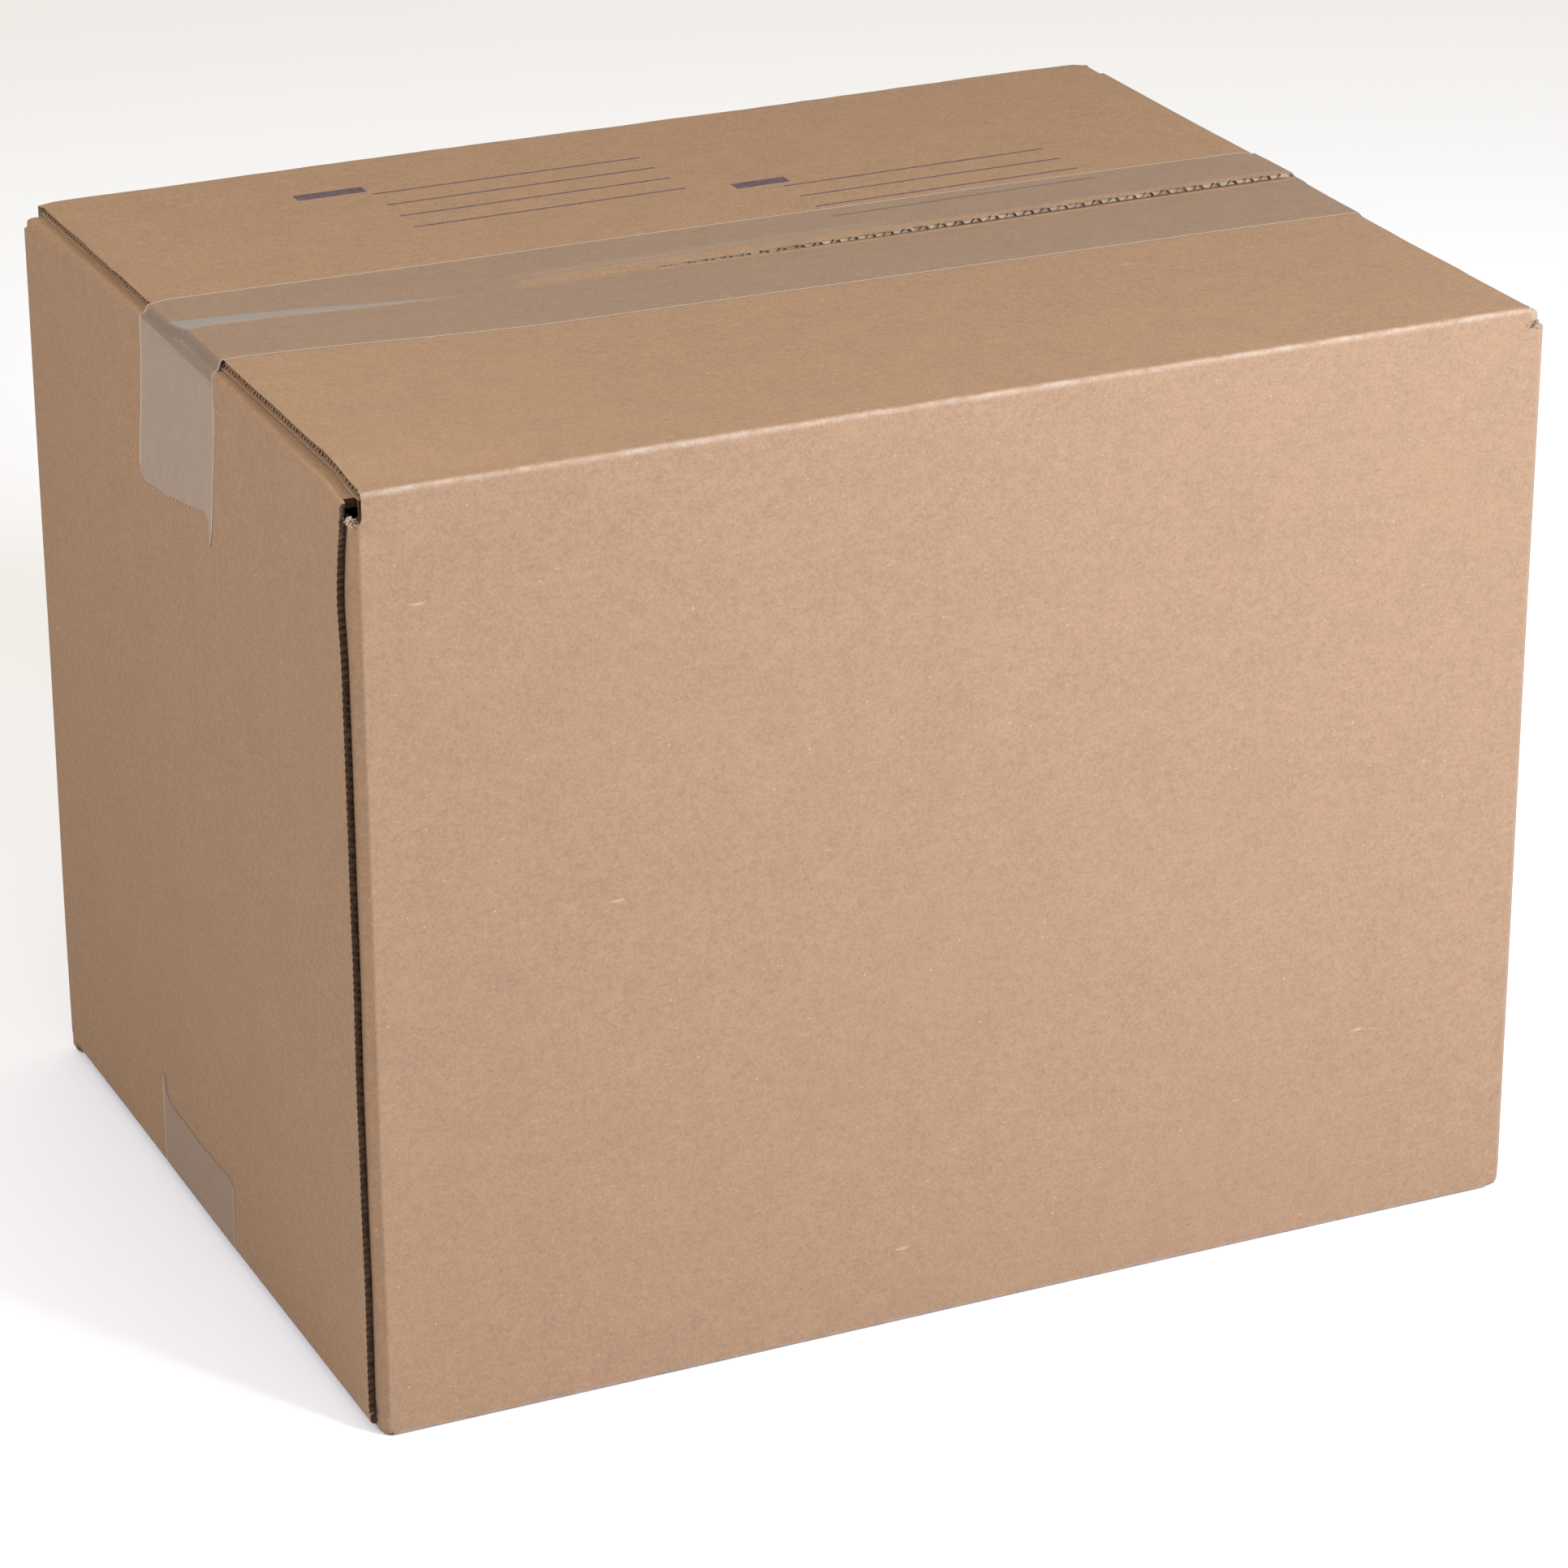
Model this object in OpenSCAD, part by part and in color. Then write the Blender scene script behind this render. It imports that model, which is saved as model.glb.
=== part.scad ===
// Shipping carton, folded shut from one slotted blank of corrugated board
// and closed with clear tape. It stands on its base with its length along X
// and its front panel facing -Y. All sizes are in millimetres.

/* [Box] */
// Inside length, left to right
inner_l = 406; // [320:1:600]
// Inside width, front to back
inner_w = 305; // [200:1:316]
// Inside height
inner_h = 305; // [200:1:500]

/* [Board] */
// Thickness of the corrugated board
board = 3; // [2.6:0.1:4]
// Thickness of each flat liner of the board
liner = 0.3; // [0.2:0.05:0.4]
// Thickness of the wavy paper between the liners
medium = 0.28; // [0.2:0.02:0.36]
// Distance from one flute to the next
flute_pitch = 6.5; // [6:0.1:8]
// How far the hollow flutes are open behind a cut edge
flute_depth = 14; // [4:1:30]
// Inside radius of a rolled fold
fold_in = 0.6; // [0.2:0.1:1.5]

/* [Flaps] */
// Width of the slots between neighbouring flaps
slot_w = 9; // [7:0.5:14]
// Gap between the two long flaps where they meet
seam_gap = 1.6; // [0.6:0.2:4]
// Air left between a short flap and the long flap over it
flap_air = 0.3; // [0.2:0.1:1]
// How high the cut edge of the back top flap stands above level
back_lift = 2; // [0:0.25:3]

/* [Glued joint] */
// Width of the tab that is folded off the front panel
tab_w = 34; // [20:1:45]
// How much shorter the tab gets towards its end, at top and bottom
tab_taper = 8; // [2:1:14]
// Thickness that the boards are pressed to where they lap
lap_board = 2.2; // [1.6:0.1:2.5]
// Air left between the tab and the panel over it
lap_air = 0.2; // [0.1:0.05:0.5]
// Distance from the end of the tab to where its panel is full board again
lap_clear = 3; // [1:0.5:8]
// Distance from the front face to the raw edge of the left panel
joint_edge = 6.5; // [5.5:0.25:10]
// Distance between the teeth of that knife cut edge
cut_pitch = 2.5; // [2:0.1:4]
// Depth of the teeth of that knife cut edge
cut_depth = 0.7; // [0.3:0.1:1]

/* [Tape] */
// Width of the tape
tape_w = 72; // [45:1:80]
// Thickness of the tape
tape_t = 0.08; // [0.05:0.01:0.2]
// Air left between the top tape and the lifted flap
lift_air = 0.01; // [0.005:0.005:0.05]
// How far the top tape hangs down each end, at its front edge
top_tail = 45; // [20:1:90]
// How much further it hangs down at its back edge
top_slant = 9; // [-12:1:12]
// How far the top tape lies behind the seam, at mid length
top_shift = -3; // [-8:1:8]
// How far the top tape swings to the back on its way right, in degrees
top_skew = -1.6; // [-2:0.1:2]
// How far the bottom tape runs up each end, at its front edge
bottom_tail = 28; // [12:1:90]
// How much further it runs up at its back edge
bottom_slant = 2; // [-8:1:8]
// How far the bottom tape lies behind the seam, at mid length
bottom_shift = 8; // [-8:1:12]
// How far the bottom tape swings to the back on its way right, in degrees
bottom_skew = -0.6; // [-2:0.1:2]
// Distance between the teeth of a torn tape end
tear_pitch = 2.4; // [1.6:0.1:4]
// Depth of the teeth of a torn tape end
tear_depth = 1; // [0.4:0.1:2]

/* [Hidden] */
$fn = 48;

// Outside of the folded box
fold_out = fold_in + board;
lid_step = board + flap_air;
length = inner_l + 2 * board;
width = inner_w + 2 * board;
height = inner_h + 2 * (board + lid_step);

// Heights of the fold centres above the carton's underside
long_fold_z = fold_out;
short_fold_z = fold_out + lid_step;
panel_h = height - 2 * short_fold_z;

// Flaps: their widths along the folds, and their reach from the fold centres
flap_inset = (slot_w + board) / 2;
long_flap_w = length - 2 * flap_inset;
short_flap_w = width - 2 * flap_inset;
flap_reach = width / 2 - fold_out - seam_gap / 2;

// Glued joint: the tab lies this far inside the outer face of the left panel
lap_step = lap_board + lap_air;

// Flutes: each is a trapezoid between the wavy medium and one liner
flute_h = board - 2 * liner - medium;
flute_crest = 0.24 * flute_pitch;
flute_foot = flute_pitch - flute_crest - 1.25 * medium;
flute_count = floor(long_flap_w / flute_pitch) - 1;

// How far a cutting tool starts outside the face that it cuts
cut_over = 1;

// A line of saw teeth from one point to another, to the left of the way
function saw_line(from, to, pitch, depth) =
    let (run = to - from, n = floor(norm(run) / pitch))
    let (tip = depth * [-run[1], run[0]] / norm(run)) [
        for (i = [0 : n - 1])
            each [from + run * i / n, from + run * (i + 0.5) / n + tip],
        to
    ];

// Section through a fold. Its centre is the origin, its panel stands below
// it on the left, and the sheet turns from upright to level on the right.
module fold_section() {
    intersection() {
        difference() {
            circle(r = fold_out);
            circle(r = fold_in);
        }
        translate([-fold_out, 0]) square(fold_out);
    }
}

// The opening of one flute, seen in the cut edge
module flute() {
    polygon([
        [-flute_foot / 2, 0], [flute_foot / 2, 0],
        [flute_crest / 2, flute_h], [-flute_crest / 2, flute_h]
    ]);
}

// All flutes of a cut edge that runs along X through the origin. The board
// lies behind the edge, towards -Y, and has its thickness above it.
module flute_row() {
    rotate([90, 0, 0]) translate([0, 0, -cut_over]) linear_extrude(flute_depth + cut_over)
        for (i = [0 : flute_count - 1]) {
            x = (i - (flute_count - 1) / 2) * flute_pitch;
            translate([x - flute_pitch / 4, liner]) flute();
            translate([x + flute_pitch / 4, board - liner]) mirror([0, 1]) flute();
        }
}

// A flap with its rolled fold. The fold runs along X with its centre at the
// origin, the panel stands below, and the flap reaches towards +Y, with its
// free edge lifted by the given height.
module flap(w, lift = 0) {
    rotate([90, 0, 90]) translate([0, 0, -w / 2]) linear_extrude(w) {
        fold_section();
        polygon([
            [0, fold_in], [flap_reach, fold_in + lift],
            [flap_reach, fold_out + lift], [0, fold_out]
        ]);
    }
}

// A long flap, with its flutes open along the edge that meets the other one
module long_flap(lift = 0) {
    difference() {
        flap(long_flap_w, lift);
        translate([0, flap_reach, fold_in + lift])
            rotate([atan(lift / flap_reach), 0, 0]) flute_row();
    }
}

// Puts a flap on the top fold of the front panel
module on_long_fold() {
    translate([0, fold_out - width / 2, height - long_fold_z]) children();
}

// Puts a flap on the top fold of the left panel
module on_short_fold() {
    translate([fold_out - length / 2, 0, height - short_fold_z])
        rotate([0, 0, -90]) children();
}

// Turns what is made at the front or the top to the back or the underside
module to_back() {
    mirror([0, 1, 0]) children();
}
module to_underside() {
    translate([0, 0, height]) mirror([0, 0, 1]) children();
}

// The two short flaps of one end of the box, on the left and right panels
module short_flaps() {
    on_short_fold() flap(short_flap_w);
    mirror([1, 0, 0]) on_short_fold() flap(short_flap_w);
}

// The front panel from its left end to its right fold. The slots cut it down
// at both ends, and its middle reaches on to the long folds.
module long_panel(left_end) {
    translate([left_end, -width / 2, short_fold_z])
        cube([length / 2 - fold_out - left_end, board, panel_h]);
    translate([-long_flap_w / 2, -width / 2, long_fold_z])
        cube([long_flap_w, board, height - 2 * long_fold_z]);
}

// The upright fold between the left and front panels, at a given left face
module corner_fold(left_face = -length / 2) {
    translate([left_face + fold_out, fold_out - width / 2, short_fold_z])
        linear_extrude(panel_h) mirror([0, 1]) fold_section();
}

// The right panel, between its two upright folds
module right_panel() {
    translate([length / 2 - board, fold_out - width / 2, short_fold_z])
        cube([board, width - 2 * fold_out, panel_h]);
}

// The left panel: full board, and pressed thinner where it laps the tab. Its
// raw front edge is cut by a toothed knife.
module left_panel() {
    edge_y = joint_edge + cut_depth - width / 2;
    lap_y = tab_w + lap_clear - width / 2;
    translate([-length / 2, 0, short_fold_z]) {
        translate([0, lap_y, 0])
            cube([board, width / 2 - fold_out - lap_y, panel_h]);
        rotate([90, 0, 90]) linear_extrude(lap_board) polygon([
            each saw_line([edge_y, 0], [edge_y, panel_h], cut_pitch, cut_depth),
            [lap_y, panel_h], [lap_y, 0]
        ]);
    }
}

// The glue tab: folded off the front panel and tucked inside the left one
module glue_tab() {
    root_y = fold_out - width / 2;
    end_y = tab_w - width / 2;
    translate([lap_step - length / 2, 0, short_fold_z])
        rotate([90, 0, 90]) linear_extrude(lap_board) polygon([
            [root_y, 0], [end_y, tab_taper],
            [end_y, panel_h - tab_taper], [root_y, panel_h]
        ]);
}

// The folded blank, standing on its own underside
module folded_blank() {
    long_panel(lap_step + fold_out - length / 2);
    to_back() long_panel(fold_out - length / 2);
    left_panel();
    right_panel();
    corner_fold(lap_step - length / 2);
    glue_tab();
    mirror([1, 0, 0]) corner_fold();
    to_back() corner_fold();
    to_back() mirror([1, 0, 0]) corner_fold();
    short_flaps();
    to_underside() short_flaps();
    on_long_fold() long_flap();
    to_back() on_long_fold() long_flap(back_lift);
    to_underside() on_long_fold() long_flap();
    to_underside() to_back() on_long_fold() long_flap();
}

// The carton: one sheet, so one solid. It stands on the tape under it.
module carton() {
    color("#c39f7b") translate([0, 0, tape_t]) folded_blank();
}

// A tape across the top, from end to end. Its back half lies on a flap whose
// free edge is lifted, and it comes down over the raw ends of both flaps.
module tape_over(shift, skew, lift) {
    end_x = length / 2;
    flap_x = length / 2 - flap_inset;
    end_z = height - lid_step;
    air = lift > 0 ? lift_air : 0;

    // Places across the tape: back edge, both edges of the seam, front edge
    function across(x) = [
        shift + x * tan(skew) + tape_w / 2, seam_gap / 2,
        -seam_gap / 2, shift + x * tan(skew) - tape_w / 2
    ];

    // Height of the tape's underside
    function lid_z(y) = y < 0 ? height
        : height + air + lift * (1 - (y - seam_gap / 2) / flap_reach);

    // Four rows of points along the tape, on its underside and then on top
    rows = [[-end_x, -1], [-flap_x, 0], [flap_x, 0], [end_x, 1]];
    points = [
        for (rise = [0, tape_t], row = rows, y = across(row[0]))
            row[1] == 0 ? [row[0], y, lid_z(y) + rise] : [row[0] + row[1] * rise, y, end_z]
    ];
    n = 4;
    top = n * n;
    function quad(a, b, c, d) = [[a, b, c], [a, c, d]];
    faces = [
        for (r = [0 : n - 2], c = [0 : n - 2])
            let (p = r * n + c, q = p + top)
            each concat(
                quad(p, p + 1, p + n + 1, p + n),
                quad(q, q + n, q + n + 1, q + 1)
            ),
        for (r = [0 : n - 2])
            let (p = r * n, q = p + n - 1)
            each concat(
                quad(p, p + n, p + n + top, p + top),
                quad(q, q + top, q + n + top, q + n)
            ),
        for (c = [0 : n - 2])
            let (p = c, q = (n - 1) * n + c)
            each concat(
                quad(p, p + top, p + 1 + top, p + 1),
                quad(q, q + 1, q + 1 + top, q + top)
            )
    ];
    polyhedron(points, faces);
}

// One torn tail of that tape, down the end face that starts at the given x
module tape_tail(x, y, tail, slant) {
    back = y + tape_w / 2;
    front = y - tape_w / 2;
    end_z = height - lid_step;
    translate([x, 0, 0]) rotate([90, 0, 90]) linear_extrude(tape_t) polygon([
        [back, end_z], [front, end_z],
        each saw_line([front, end_z - tail], [back, end_z - tail - slant], tear_pitch, tear_depth)
    ]);
}

// A whole tape: over the top and down both ends
module tape(shift, skew, tail, slant, lift = 0) {
    swing = length / 2 * tan(skew);
    tape_over(shift, skew, lift);
    tape_tail(-length / 2 - tape_t, shift - swing, tail, slant);
    tape_tail(length / 2, shift + swing, tail, slant);
}

module top_tape() {
    color("#d9cdbf", 0.6) translate([0, 0, tape_t])
        tape(top_shift, top_skew, top_tail, top_slant, back_lift);
}

module bottom_tape() {
    color("#d9cdbf", 0.6) translate([0, 0, tape_t]) to_underside()
        tape(bottom_shift, bottom_skew, bottom_tail, bottom_slant);
}

carton();
top_tape();
bottom_tape();
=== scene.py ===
import math
import random

import bmesh
import bpy
import numpy as np
from mathutils import Matrix, Vector, noise
from mathutils.bvhtree import BVHTree


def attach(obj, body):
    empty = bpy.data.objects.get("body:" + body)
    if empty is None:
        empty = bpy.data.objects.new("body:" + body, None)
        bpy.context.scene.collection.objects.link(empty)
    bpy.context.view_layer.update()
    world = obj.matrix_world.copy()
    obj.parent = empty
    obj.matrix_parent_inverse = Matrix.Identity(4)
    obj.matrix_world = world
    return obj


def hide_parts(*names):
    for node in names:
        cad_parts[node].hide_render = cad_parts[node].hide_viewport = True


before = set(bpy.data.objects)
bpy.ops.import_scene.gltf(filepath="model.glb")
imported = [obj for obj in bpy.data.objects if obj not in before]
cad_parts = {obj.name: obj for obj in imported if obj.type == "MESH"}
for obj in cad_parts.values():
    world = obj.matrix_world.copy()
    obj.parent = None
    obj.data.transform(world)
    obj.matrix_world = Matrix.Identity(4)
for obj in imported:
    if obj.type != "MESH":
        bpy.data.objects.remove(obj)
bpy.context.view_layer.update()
print("frame loaded")

scene = bpy.context.scene
mm = 0.001  # lengths below are in millimetres, and each finished mesh is scaled to metres

# The folded box, as the solids have it
box = {
    "halfLength": 206.0,
    "halfWidth": 155.5,
    "standsOn": 0.08,  # tape under the box
    "top": 317.68,
    "board": 3.0,
    "foldOut": 3.6,  # outside radius of a rolled fold
    "flapHalf": 200.0,  # half the width of a long flap
    "flapReach": 151.1,  # from its fold to its free edge
    "seamHalf": 0.8,  # half the gap where the long flaps meet
    "lidStep": 3.3,  # the short flaps lie this far under the long ones
    "fluteDepth": 14.0,
    "solidLift": 2.0,  # how far the solid's back flap is lifted at its free edge
    "lapStep": 2.4,  # the tab lies this far inside the left panel
    "lowHalf": 100.0,  # what lies below this belongs to the underside
}

# the middle lines of the rolled folds
foldX = box["halfLength"] - box["foldOut"]
foldY = box["halfWidth"] - box["foldOut"]


# Small tools for numbers, meshes and shader nodes

def rise(t):
    t = min(max(t, 0.0), 1.0)
    return t * t * (3 - 2 * t)


def ramp(value, start, over):
    # a soft rise from 0 at the start to 1 after a length, backwards if that is below 0
    return rise((value - start) / over)


def newObject(name, data):
    made = bpy.data.objects.new(name, data)
    scene.collection.objects.link(made)
    return made


def finishMesh(bm, name, materials, sharpAngle=32):
    # turns a bmesh in millimetres into an object in metres, smooth but for its sharp edges
    bmesh.ops.recalc_face_normals(bm, faces=bm.faces[:])
    mesh = bpy.data.meshes.new(name)
    bm.to_mesh(mesh)
    bm.free()
    mesh.transform(Matrix.Scale(mm, 4))
    for material in materials:
        mesh.materials.append(material)
    mesh.polygons.foreach_set("use_smooth", [True] * len(mesh.polygons))
    mesh.set_sharp_from_angle(angle=math.radians(sharpAngle))
    return newObject(name, mesh)


def feed(tree, sockets, values):
    # links each socket to another one, or sets its value
    for key, value in values.items():
        if isinstance(value, bpy.types.NodeSocket):
            tree.links.new(value, sockets[key])
        else:
            sockets[key].default_value = value


def addNode(tree, kind, values=None, **settings):
    made = tree.nodes.new(kind)
    for key, value in settings.items():
        setattr(made, key, value)
    feed(tree, made.inputs, values or {})
    return made


def calc(tree, operation, a, b, c=0.0, clamp=False):
    values = {0: a, 1: b, 2: c}
    return addNode(tree, "ShaderNodeMath", values, operation=operation, use_clamp=clamp).outputs[0]


def times(tree, a, b, clamp=False):
    return calc(tree, "MULTIPLY", a, b, clamp=clamp)


def vectorCalc(tree, operation, values):
    return addNode(tree, "ShaderNodeVectorMath", values, operation=operation).outputs[0]


def fade(tree, value, low, high, toLow=0.0, toHigh=1.0):
    # a smooth step from one value to another
    values = {"Value": value, "From Min": low, "From Max": high, "To Min": toLow, "To Max": toHigh}
    made = addNode(tree, "ShaderNodeMapRange", values, interpolation_type="SMOOTHSTEP")
    return made.outputs["Result"]


def mixColor(tree, factor, a, b):
    made = addNode(tree, "ShaderNodeMix", data_type="RGBA")
    feed(tree, made.inputs, {0: factor, 6: a, 7: b})
    return made.outputs[2]


def stretch(tree, vector, scale, turn=(0, 0, 0)):
    values = {"Vector": vector, "Scale": scale, "Rotation": [math.radians(a) for a in turn]}
    return addNode(tree, "ShaderNodeMapping", values).outputs[0]


def noiseOf(tree, vector, scale, detail, roughness):
    values = {"Vector": vector, "Scale": scale, "Detail": detail, "Roughness": roughness}
    return addNode(tree, "ShaderNodeTexNoise", values).outputs[0]


def spotsOf(tree, vector, scale, reach):
    # scattered spots, 1 at their middle, reach is their radius as a share of the spacing
    spots = addNode(tree, "ShaderNodeTexVoronoi", {"Vector": vector, "Scale": scale})
    return fade(tree, spots.outputs["Distance"], reach, reach * 0.45)


def newGroup(name, vectors, numbers, results):
    # a node group with vector and number inputs, and numbers as its results
    tree = bpy.data.node_groups.new(name, "ShaderNodeTree")
    number = "NodeSocketFloat"
    for keys, kind, way in ((vectors, "NodeSocketVector", "INPUT"), (numbers, number, "INPUT"),
                            (results, number, "OUTPUT")):
        for key in keys:
            tree.interface.new_socket(key, in_out=way, socket_type=kind)
    return tree, tree.nodes.new("NodeGroupInput").outputs, tree.nodes.new("NodeGroupOutput").inputs


def useGroup(tree, group, values):
    made = tree.nodes.new("ShaderNodeGroup")
    made.node_tree = group
    feed(tree, made.inputs, values)
    return made.outputs


def newMaterial(name):
    material = bpy.data.materials.new(name)
    material.use_nodes = True
    tree = material.node_tree
    return material, tree, tree.nodes["Principled BSDF"].inputs


def bumpOf(tree, height, strength, distance):
    values = {"Height": height, "Strength": strength, "Distance": distance}
    return addNode(tree, "ShaderNodeBump", values).outputs[0]


# Shader groups

def paperPulp():
    # recycled kraft pulp: cloudy tint, fine mottling, streaks, flecks and fibres
    tree, given, out = newGroup(
        "paperPulp", ["Position"], ["Mottle", "Flecks"],
        ["Tint", "Shade", "Pale Flecks", "Dark Flecks", "Height"],
    )
    place = given["Position"]
    cloud = noiseOf(tree, place, 50, 2, 0.6)
    patch = noiseOf(tree, place, 330, 2, 0.65)
    grain = noiseOf(tree, place, 1050, 3, 0.75)
    streaks = noiseOf(tree, stretch(tree, place, (0.12, 0.12, 1.0)), 900, 1, 0.6)
    tint = calc(tree, "ADD", times(tree, cloud, 0.55), times(tree, patch, 0.45))

    # shade is near 1, with the mottling on either side of it
    total = 0.0
    for value, weight in ((cloud, 0.04), (patch, 0.18), (grain, 0.62), (streaks, 0.08)):
        level = times(tree, calc(tree, "SUBTRACT", value, 0.5), weight)
        total = calc(tree, "ADD", level, total)

    # scattered specks, some pale and some dark, and short pale fibres that lie at two angles
    specks = addNode(tree, "ShaderNodeTexVoronoi", {"Vector": place, "Scale": 170})
    speck = fade(tree, specks.outputs["Distance"], 0.08, 0.03)
    split = addNode(tree, "ShaderNodeSeparateColor", {0: specks.outputs["Color"]})
    kind, strength = split.outputs[:2]
    speck = times(tree, speck, fade(tree, strength, 0.0, 1.0, 0.35, 1.0))
    isPale = calc(tree, "GREATER_THAN", kind, 0.42)
    fibres = 0.0
    for turn, size in (((0, 0, 20), 260), ((35, 0, -50), 230)):
        lying = stretch(tree, place, (0.16, 1.0, 1.0), turn)
        fibres = calc(tree, "MAXIMUM", spotsOf(tree, lying, size, 0.055), fibres)
    pale = calc(tree, "MAXIMUM", times(tree, speck, isPale), times(tree, fibres, 0.5))
    scratches = spotsOf(tree, stretch(tree, place, (0.2, 1.0, 1.0), (0, 12, 0)), 60, 0.045)
    pale = calc(tree, "MAXIMUM", times(tree, scratches, 0.6), pale)
    dark = times(tree, speck, calc(tree, "SUBTRACT", 1.0, isPale))
    feed(tree, out, {
        "Tint": fade(tree, tint, 0.36, 0.64),
        "Shade": calc(tree, "MULTIPLY_ADD", total, given["Mottle"], 1.0),
        "Pale Flecks": times(tree, pale, given["Flecks"], clamp=True),
        "Dark Flecks": times(tree, dark, given["Flecks"], clamp=True),
        "Height": calc(tree, "MULTIPLY_ADD", patch, 0.6, grain),
    })
    return tree


def boxEdgeWearAndHighlight():
    # how near a place is to one of the box's folds, broken up by noise: there the paper is rubbed, and a
    # highlight is painted along the fold
    tree, given, out = newGroup(
        "boxEdgeWearAndHighlight", ["Position", "Half Size"], ["Middle Height", "Reach"], ["WearAndHighlight"],
    )
    place = given["Position"]
    lowered = addNode(tree, "ShaderNodeCombineXYZ", {"Z": given["Middle Height"]}).outputs[0]
    mirrored = vectorCalc(tree, "ABSOLUTE", {0: vectorCalc(tree, "SUBTRACT", {0: place, 1: lowered})})
    inward = vectorCalc(tree, "SUBTRACT", {0: given["Half Size"], 1: mirrored})
    x, y, z = addNode(tree, "ShaderNodeSeparateXYZ", {0: inward}).outputs
    # the second smallest of the three depths is the distance to the nearest fold
    low = calc(tree, "MINIMUM", x, y)
    high = calc(tree, "MAXIMUM", x, y)
    second = calc(tree, "MAXIMUM", low, calc(tree, "MINIMUM", high, z))
    near = fade(tree, second, given["Reach"], 0.0)
    rubbedAndHighlight = fade(tree, noiseOf(tree, place, 120, 4, 0.7), 0.3, 0.7, 0.25, 1.0)
    feed(tree, out, {"WearAndHighlight": times(tree, near, rubbedAndHighlight)})
    return tree


lineKeys = ["Left", "Right", "Back Line", "Front Line", "Gap", "Width"]


def ruledLines():
    # a block of thin printed lines on the level top
    tree, given, out = newGroup("ruledLines", ["Position"], lineKeys, ["Ink"])
    x, y, z = addNode(tree, "ShaderNodeSeparateXYZ", {0: given["Position"]}).outputs
    back = calc(tree, "SUBTRACT", given["Back Line"], y)
    # the distance to the nearest line repeats with the gap
    nearest = calc(tree, "PINGPONG", back, times(tree, given["Gap"], 0.5))
    inked = calc(tree, "LESS_THAN", nearest, times(tree, given["Width"], 0.5))
    for value, edge in ((x, given["Left"]), (y, given["Front Line"]), (z, 0.3)):
        inked = times(tree, inked, calc(tree, "GREATER_THAN", value, edge))
    for value, edge in ((x, given["Right"]), (y, given["Back Line"])):
        far = calc(tree, "ADD", edge, given["Width"])
        inked = times(tree, inked, calc(tree, "LESS_THAN", value, far))
    feed(tree, out, {"Ink": inked})
    return tree


pulp = paperPulp()
edgeWearAndHighlight = boxEdgeWearAndHighlight()
lineBlock = ruledLines()
print("shader groups made")


# Kraft board

kraftLook = {
    "warm": (0.271, 0.1585, 0.0830, 1),
    "cool": (0.262, 0.1555, 0.0830, 1),
    "paleFleck": (0.42, 0.32, 0.225, 1),
    "darkFleck": (0.13, 0.08, 0.05, 1),
    # pale colour of the folds: rubbed paper and a painted highlight
    "rubbedAndHighlight": (0.42, 0.325, 0.235, 1),
    "cut": (0.34, 0.245, 0.155, 1),
    "torn": (0.34, 0.255, 0.175, 1),
    "deep": (0.062, 0.034, 0.019, 1),  # near black: painted shade, with some dark fluting paper, seen where the board is torn open
    "ink": (0.038, 0.026, 0.055, 1),
    "mottle": 1.15,
    "flecks": 0.8,
    "roughness": 0.74,
    "roughnessSway": 0.06,
    "specular": 0.35,
    "bump": 0.3,
    "bumpDepth": 0.06 * mm,
    # how strongly the folds are lightened, as rubbed paper and as a painted highlight
    "wearAndHighlight": 0.75,
    "wearAndHighlightReach": 2.3 * mm,
    "rawFlecks": 0.4,
    "rawRoughness": 0.85,
    "rawSpecular": 0.2,
    "rawBump": 0.8,
}

# Printed lines in the order of their keys, measured from the middle of the box.
# A short bar is one wide line, cut off at its front end.
printLook = {
    "blocks": [
        (-94, 4, 115, 74.3, 13.25, 1.15),
        (36, 134, 62.3, 22.0, 13.1, 1.15),
        (-119.5, -102.5, 120.5, 118.5, 1000.0, 8.0),
        (20.5, 32.5, 68.5, 66.5, 1000.0, 8.0),
    ],
}


def printInk(tree, place):
    ink = 0.0
    for block in printLook["blocks"]:
        values = {key: value * mm for key, value in zip(lineKeys, block)}
        lines = useGroup(tree, lineBlock, {"Position": place, **values})
        ink = calc(tree, "MAXIMUM", lines["Ink"], ink)
    return ink


def paperOn(tree, mottle, flecks):
    place = addNode(tree, "ShaderNodeTexCoord").outputs["Object"]
    return place, useGroup(tree, pulp, {"Position": place, "Mottle": mottle, "Flecks": flecks})


def shadedColor(tree, color, paper):
    return vectorCalc(tree, "SCALE", {0: color, "Scale": paper["Shade"]})


def kraftColor(tree, place, paper):
    color = mixColor(tree, paper["Tint"], kraftLook["cool"], kraftLook["warm"])
    color = mixColor(tree, paper["Dark Flecks"], color, kraftLook["darkFleck"])
    color = mixColor(tree, paper["Pale Flecks"], color, kraftLook["paleFleck"])
    half = (box["halfLength"] * mm, box["halfWidth"] * mm, (box["top"] - box["standsOn"]) / 2 * mm)
    wearAndHighlight = useGroup(tree, edgeWearAndHighlight, {
        "Position": place, "Half Size": half, "Reach": kraftLook["wearAndHighlightReach"],
        "Middle Height": (box["top"] + box["standsOn"]) / 2 * mm,
    })["WearAndHighlight"]
    # the folds are lightened: rubbed paper, and a painted highlight along them
    color = mixColor(tree, times(tree, wearAndHighlight, kraftLook["wearAndHighlight"]), color, kraftLook["rubbedAndHighlight"])
    # the ink is thin, and the paper's grain breaks it up
    cover = times(tree, printInk(tree, place), fade(tree, paper["Height"], 0.6, 1.0, 0.9, 0.7))
    color = mixColor(tree, cover, color, kraftLook["ink"])
    return shadedColor(tree, color, paper)


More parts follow.
